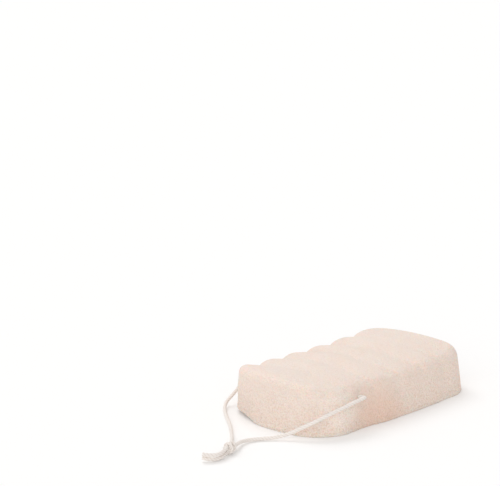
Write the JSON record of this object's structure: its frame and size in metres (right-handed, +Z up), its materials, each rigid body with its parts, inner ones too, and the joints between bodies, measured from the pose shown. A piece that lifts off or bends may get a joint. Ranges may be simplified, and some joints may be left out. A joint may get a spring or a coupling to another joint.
{
  "type": "konjac sponge",
  "caption": "Oblong wave-topped body sponge with a crowned top, a flat base and a knotted loop of cotton cord threaded through one end for hanging.",
  "frame": {"origin": "middle of the sponge's flat underside, which is what it rests on", "axes": "+X runs along the sponge, away from the end with the cord and its knot; +Y across it, to the left when looking along +X; +Z up, out of the waved top"},
  "size_m": [0.1891, 0.0819, 0.027],
  "materials": {
    "konjac_foam": "matte",
    "cotton_cord": "matte"
  },
  "bodies": {
    "sponge": {"sponge_body": "konjac_foam"},
    "cord_loop": {"string_through": "cotton_cord", "string_leg_right": "cotton_cord", "string_leg_left": "cotton_cord", "string_knot": "cotton_cord", "string_tail_lower": "cotton_cord", "string_tail_upper": "cotton_cord"}
  },
  "joints": [
    {"name": "loop_swing", "type": "hinge", "parent": "sponge", "child": "cord_loop", "pos_m": [-0.032, 0, 0.0165], "axis": [0, 1, 0], "range_deg": [0, 170]}
  ]
}
